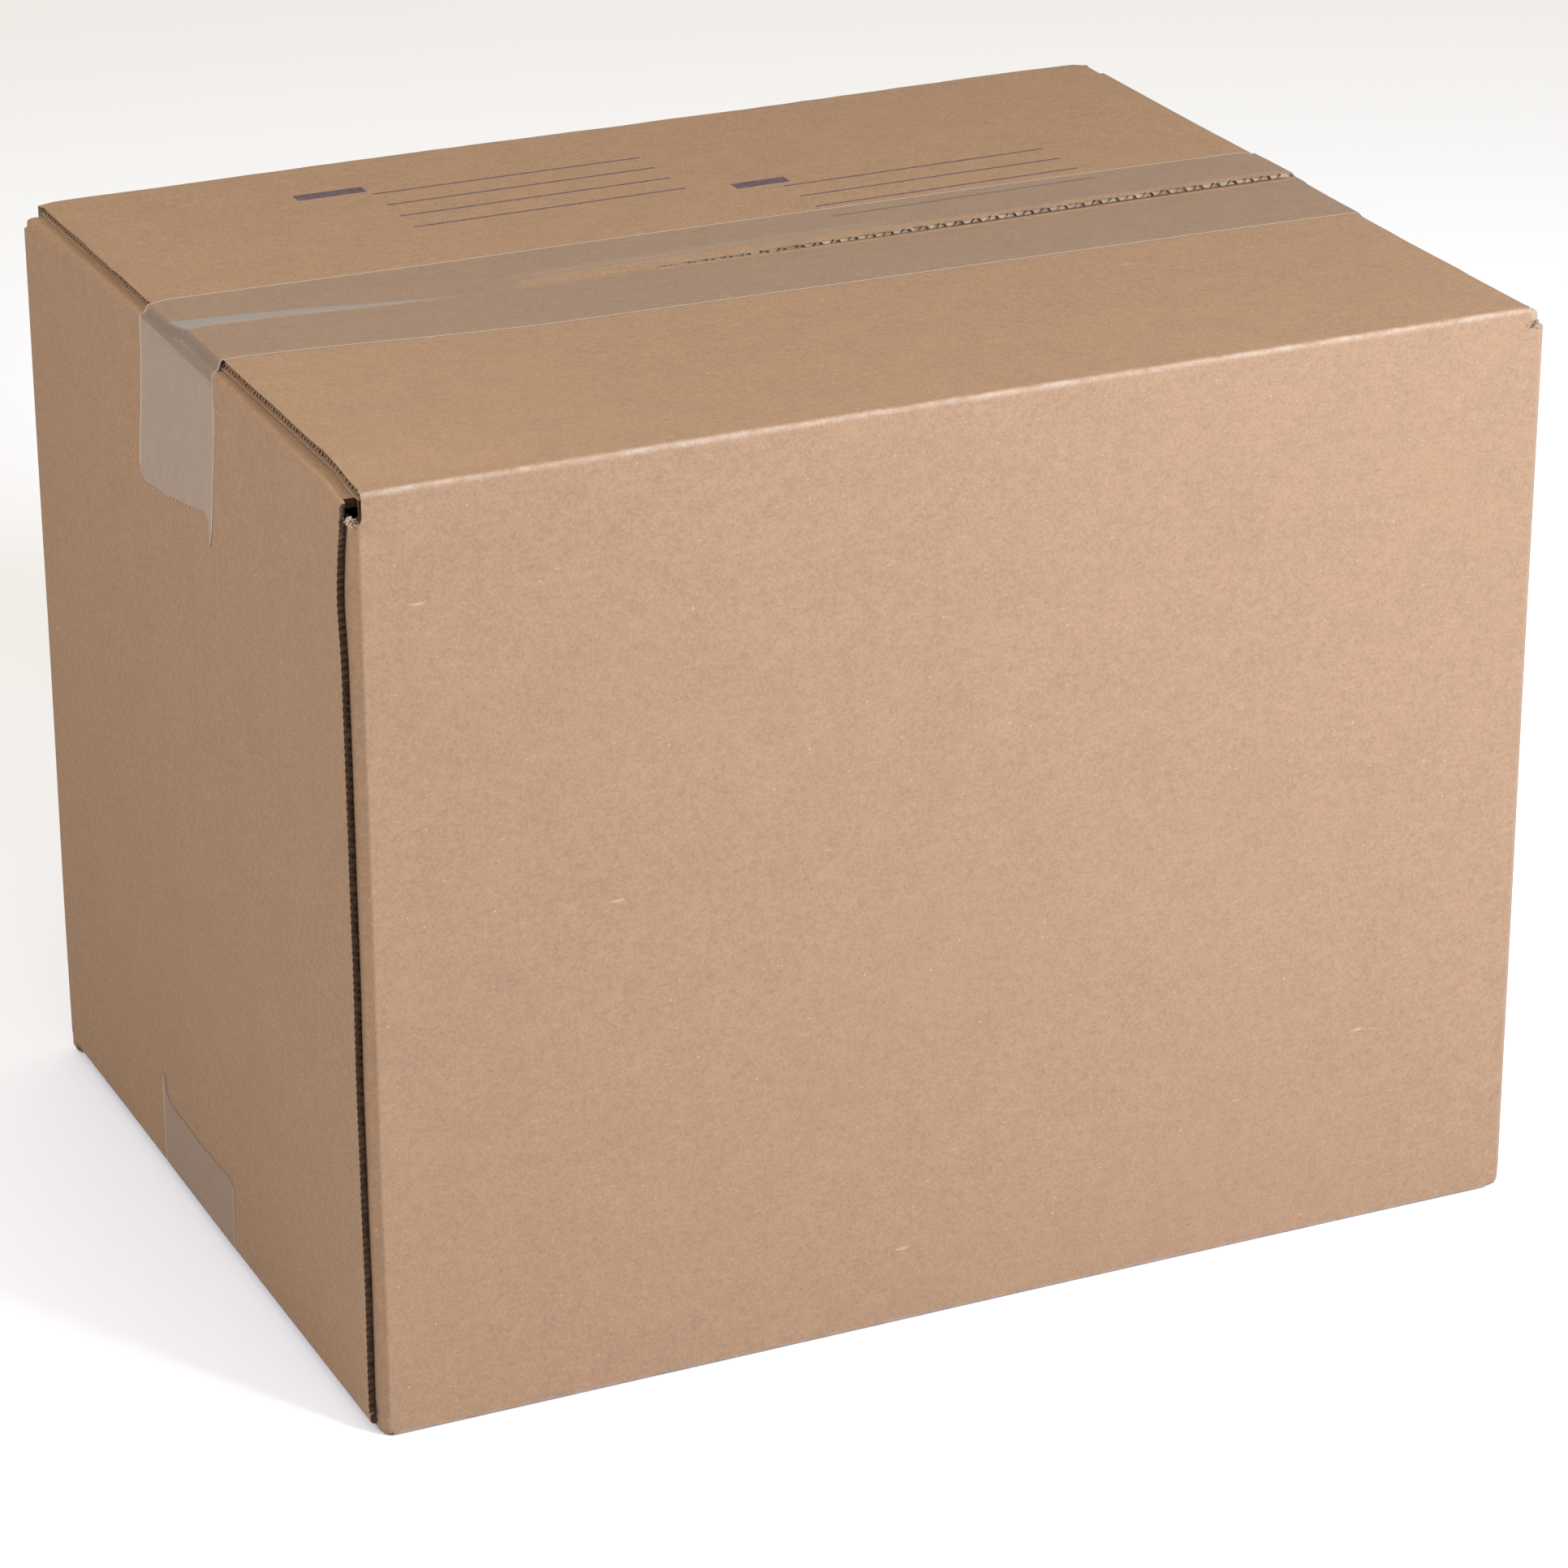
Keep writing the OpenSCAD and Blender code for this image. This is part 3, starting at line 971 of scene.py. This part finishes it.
def filmLine(tape, share):
    # places along the whole tape, with how milky the film is and if it spans a gap
    wide = (share - 0.5) * filmLook["width"]
    slope = math.tan(math.radians(tape["skew"]))
    ends = []
    for side in (-1, 1):
        y = tape["centre"] + side * box["halfLength"] * slope + wide
        ends.append([(x, y, z, milk, air) for x, z, milk, air in filmEnd(tape, side, y, share)])
    spots = ends[0]
    for x in alongTop():
        y = tape["centre"] + x * slope + wide
        level, gap = (box["top"], 0.0) if tape["under"] else filmTop(x, y)
        left = ramp(x, *filmLook["milkEnds"])
        most = filmLook["milkSeam"]
        milk = rise(gap / 0.3) * (most * left - most * (1 - left))
        if not tape["under"]:
            milk += looseStrip(x, y, milk)
        spots.append((x, y, level + filmLook["lies"], milk, rise(gap / 0.6)))
    spots += reversed(ends[1])
    # the film's two edges get a painted pale highlight
    rim = rise(1 - min(share, 1 - share) * filmLook["width"] / filmLook["edgeHighlightWidth"])
    return [(x, y, z, milk + (1.7 - milk) * rim, air) for x, y, z, milk, air in spots]


def looseStrip(x, y, milk):
    # clear film behind the seam, and a milky line where it begins to stick
    behind = y - box["seamHalf"]
    if behind < 0:
        return 0.0
    start, over, share = filmLook["bareNarrows"]
    wide = filmLook["bareWidth"] * (1 - share * ramp(x, start, over))
    wide += 0.8 * noise.noise(Vector((x / 25, 0, 5)))
    starts = ramp(x, *filmLook["bareFrom"])
    bare = starts * rise((wide - behind) / 1.5 + 1)
    distance, width, strength = filmLook["haze"]
    line = math.exp(-((behind - wide - distance) / width) ** 2)
    haze = strength * starts * line * (1 - ramp(x, *filmLook["hazeEnds"]))
    return (-filmLook["milkSeam"] - milk) * bare + haze * (1 - bare)


def alongTop():
    reach = box["flapHalf"]
    last = reach - filmLook["nearEnd"][-1]
    even = [last * (2 * i / filmLook["rows"] - 1) for i in range(1, filmLook["rows"])]
    return sorted([side * (reach - near) for near in filmLook["nearEnd"] for side in (-1, 1)] + even)


def outward(places, under):
    normals = np.cross(np.gradient(places, axis=1), np.gradient(places, axis=0))
    normals /= np.linalg.norm(normals, axis=2, keepdims=True)
    middle = normals[places.shape[0] // 2, places.shape[1] // 2, 2]
    return normals if (middle < 0) == under else -normals


def restOnBoard(places, under):
    # moves the film out wherever it would lie in the board
    start = 9.0
    beside = Vector((0.03, 0.05, 0.04))
    normals = outward(places, under)
    for index in np.ndindex(places.shape[:2]):
        way = Vector(normals[index])
        begin = (Vector(places[index]) + way * start) * mm
        hit = cartonSurface.ray_cast(begin, -way, (start + 1) * mm)
        if hit[0] is None or hit[3] > start * mm:
            # a ray can slip through between two faces, so one beside it is tried too
            hit = cartonSurface.ray_cast(begin + beside * mm, -way, (start + 1) * mm)
        if hit[0] is not None and hit[3] < (start - filmLook["lies"]) * mm:
            places[index] = hit[0] / mm + way * filmLook["lies"]


def makeTape(tape, material):
    under, columns = tape["under"], filmLook["columns"]
    closer = [abs(side - near) for near in filmLook["edgeShares"] for side in (0, 1)]
    shares = sorted([i / columns for i in range(columns + 1)] + closer)
    lines = [filmLine(tape, share) for share in shares]
    across, along = len(lines), len(lines[0])
    places = np.array([[spot[:3] for spot in line] for line in lines])
    if under:
        places[:, :, 2] = turnedOver(places[:, :, 2])
    for index in np.ndindex(across, along):
        places[index] = bowed(Vector(places[index]))
    restOnBoard(places, under)
    if under:
        places[:, :, 2] = np.maximum(places[:, :, 2], filmLook["lowest"][0])
    outer = places + outward(places, under) * filmLook["thick"]
    if under:
        outer[:, :, 2] = np.maximum(outer[:, :, 2], filmLook["lowest"][1])

    bm = bmesh.new()
    milk = bm.verts.layers.float.new("milk")
    air = bm.verts.layers.float.new("air")
    skins = []
    for skin, isInner in ((places, True), (outer, False)):
        grid = [[bm.verts.new(place) for place in line] for line in skin]
        for i, j in np.ndindex(across, along):
            grid[i][j][milk] = lines[i][j][3]
            grid[i][j][air] = filmLook["innerSkin"] if isInner else lines[i][j][4]
        skins.append(grid)
    inner, upper = skins
    for grid in skins:
        for i, j in np.ndindex(across - 1, along - 1):
            bm.faces.new((grid[i][j], grid[i + 1][j], grid[i + 1][j + 1], grid[i][j + 1]))
    rim = [(i, 0) for i in range(across)] + [(across - 1, j) for j in range(1, along)]
    rim += [(i, along - 1) for i in range(across - 2, -1, -1)] + [(0, j) for j in range(along - 2, 0, -1)]
    for (i, j), (k, m) in zip(rim, rim[1:] + rim[:1]):
        bm.faces.new((inner[i][j], inner[k][m], upper[k][m], upper[i][j]))
    piece = finishMesh(bm, tape["name"] + "_film", [material], 60)
    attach(piece, "root")
    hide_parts(tape["name"])
    print("tape made:", piece.name, len(piece.data.polygons), "faces")


def filmMaterial():
    # where the film lies on the board, the board's own colour shows through its veil
    material, tree, shader = newMaterial("clearFilm")
    place, paper = paperOn(tree, filmLook["mottle"], filmLook["flecks"])
    board = kraftColor(tree, place, paper)
    known = [addNode(tree, "ShaderNodeAttribute", attribute_name=key) for key in ("milk", "air")]
    milk, air = [made.outputs["Fac"] for made in known]
    cloudy = fade(tree, noiseOf(tree, place, 130, 2, 0.6), 0.3, 0.7, 0.85, 1.1)
    milky = times(tree, milk, cloudy, clamp=True)
    veil = mixColor(tree, milky, filmLook["clear"], filmLook["milky"])
    cover = fade(tree, milk, -0.8, 0.0, 0.0, filmLook["cover"])
    color = mixColor(tree, cover, board, veil)
    # where the film spans air it is paler: its haze and a painted sky reflection
    hazeAndReflection = times(tree, fade(tree, air, 0.0, 1.0), fade(tree, milk, 0.0, 0.6))
    color = mixColor(tree, hazeAndReflection, color, filmLook["airHazeAndReflection"])
    # painted highlight along the film's edges
    color = mixColor(tree, fade(tree, milk, 1.0, 1.6), color, filmLook["edgeHighlight"])
    spanning = fade(tree, milk, -0.8, 0.9, filmLook["bareAlpha"], filmLook["airAlpha"])
    alpha = fade(tree, air, 0.0, 1.0, 1.0, spanning)
    outside = calc(tree, "LESS_THAN", air, 1.3)  # the inner skin is left out of sight
    ripples = noiseOf(tree, stretch(tree, place, (0.3, 1.0, 1.0)), 90, 2, 0.5)
    feed(tree, shader, {
        "Base Color": color,
        "Alpha": times(tree, alpha, outside),
        "Roughness": filmLook["roughness"],
        "Specular IOR Level": filmLook["specular"],
        "Normal": bumpOf(tree, ripples, 0.3, filmLook["ripples"] * mm),
    })
    return material


clearFilm = filmMaterial()
makeTape(topTape, clearFilm)
makeTape(bottomTape, clearFilm)


# Torn paper at the corners, where the slots end

tornLook = {
    "seed": 11,
    "segments": 6,
    "thick": 0.14,
    "turns": (0.55,) * 3,  # how far slivers differ in direction, bend and size
    "bends": (0.6,) * 3,
    "sizes": (0.45, 1.1),
    # root, way it hangs, way it bends, slivers, length, width, spread
    "tufts": [
        ((-202.6, -155.0, 308.3), (0.1, -0.4, 1), (-0.2, -1, -0.3), 9, 1.5, 1.1, (1.8, 0.3, 0.5)),
        ((-203.2, -154.6, 310.0), (0.1, -0.1, -1), (0.1, -0.6, 0.5), 9, 2.6, 1.6, (1.7, 0.4, 0.8)),
        ((-205.4, -150.2, 309.0), (0.3, -0.6, 0.6), (0.6, -0.2, -1), 4, 1.5, 1.1, (0.3, 0.8, 1.0)),
        ((200.6, -155.0, 310.8), (-0.2, -0.4, 1), (0, -0.6, 0), 4, 2.2, 0.9, (0.8, 0.3, 0.4)),
        ((203.4, -151.0, 310.8), (0.3, -0.6, 1), (0.6, 0, -0.2), 3, 1.8, 0.9, (0.8, 0.4, 0.4)),
        ((-203.2, 150.8, 310.8), (-0.4, 0.6, 1), (-0.5, 0, 0), 3, 1.8, 0.9, (0.8, 0.4, 0.4)),
        ((203.2, 150.8, 310.8), (0.4, 0.6, 1), (0.5, 0, 0), 3, 1.8, 0.9, (0.8, 0.4, 0.4)),
    ],
}


def addSliver(bm, root, way, bend, length, width):
    # a thin curled strip of paper that narrows to a point
    way = Vector(way).normalized()
    bend = Vector(bend).normalized()
    side = way.cross(bend).normalized()
    rings = []
    for i in range(tornLook["segments"] + 1):
        t = i / tornLook["segments"]
        half = width / 2 * (1 - t ** 3) * (0.75 + 0.25 * math.cos(t * 9 + length * 5)) + 0.03
        place = root + way * length * math.sin(t * 1.4) + bend * length * 0.5 * (1 - math.cos(t * 1.9))
        thick = bend * tornLook["thick"] / 2
        corners = (side * half + thick, side * half - thick, -side * half - thick, -side * half + thick)
        rings.append([bm.verts.new(place + corner) for corner in corners])
    skinRings(bm, rings)


def strewn(spread):
    return Vector([random.uniform(-most, most) for most in spread])


def makeTornPaper():
    random.seed(tornLook["seed"])
    bm = bmesh.new()
    for root, way, bend, count, length, width, spread in tornLook["tufts"]:
        for i in range(count):
            shift = strewn(spread)
            turned = Vector(way) + strewn(tornLook["turns"])
            bent = Vector(bend) + strewn(tornLook["bends"])
            size = random.uniform(*tornLook["sizes"])
            addSliver(bm, bowed(Vector(root) + shift), turned, bent, length * size, width * size)
    piece = finishMesh(bm, "torn_paper", [kraftTorn], 50)
    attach(piece, "root")
    print("torn paper made:", len(piece.data.polygons), "faces")


makeTornPaper()


# Camera, lights and floor

cameraLook = {
    "place": (-0.7229, -1.600, 0.8902),
    "turns": [(-24.52, "Z"), (66.50, "X"), (-0.20, "Z")],  # the way it faces, its tilt and its roll
    "lens": 127.96,
}

stageLook = {
    "floorSize": 12.0,
    "floorCuts": 24,
    "floorColor": (0.935, 0.955, 1.0, 1),
    "floorBounce": (0.68, 0.69, 0.72, 1),
    "zenith": (0.88, 0.80, 0.64, 1),
    "horizon": (0.468, 0.464, 0.482, 1),
    # name, place, where it points, size, power, colour
    "lamps": [
        ("keyLamp", (0.64, -1.1, 0.82), (0.0, -0.1, 0.18), 0.6, 31.0, (0.89, 1.0, 1.26)),
        ("leftLamp", (-1.0, -0.15, 0.9), (-0.2, 0.0, 0.2), 0.5, 7.4, (0.96, 1.0, 1.16)),
    ],
}


def makeCamera():
    camera = newObject("camera", bpy.data.cameras.new("camera"))
    camera.data.lens = cameraLook["lens"]
    camera.data.clip_start = 0.05
    stand = Matrix.Translation(cameraLook["place"])
    for degrees, axis in cameraLook["turns"]:
        stand = stand @ Matrix.Rotation(math.radians(degrees), 4, axis)
    camera.matrix_world = stand
    scene.camera = camera


def makeStage():
    bm = bmesh.new()
    cuts = stageLook["floorCuts"]
    bmesh.ops.create_grid(bm, x_segments=cuts, y_segments=cuts, size=stageLook["floorSize"] / 2 / mm)
    material, tree, shader = newMaterial("paleFloor")
    # the floor looks paler than the light that it throws back at the box
    seen = addNode(tree, "ShaderNodeLightPath").outputs["Is Camera Ray"]
    color = mixColor(tree, seen, stageLook["floorBounce"], stageLook["floorColor"])
    feed(tree, shader, {"Base Color": color, "Roughness": 0.9, "Specular IOR Level": 0.1})
    finishMesh(bm, "floor", [material])

    world = bpy.data.worlds.new("paleStudio")
    world.use_nodes = True
    tree = world.node_tree
    way = addNode(tree, "ShaderNodeTexCoord").outputs["Generated"]
    up = addNode(tree, "ShaderNodeSeparateXYZ", {0: way}).outputs["Z"]
    sky = mixColor(tree, fade(tree, up, 0.0, 0.9), stageLook["horizon"], stageLook["zenith"])
    feed(tree, tree.nodes["Background"].inputs, {"Color": sky})
    scene.world = world
    for name, place, aim, size, power, color in stageLook["lamps"]:
        lamp = newObject(name, bpy.data.lights.new(name, "AREA"))
        lamp.data.size = size
        lamp.data.energy = power
        lamp.data.color = color
        lamp.visible_camera = False
        lamp.location = place
        lamp.rotation_euler = (Vector(aim) - Vector(place)).to_track_quat("-Z", "Y").to_euler()
    scene.view_settings.view_transform = "Standard"


makeCamera()
makeStage()
print("camera and stage made")
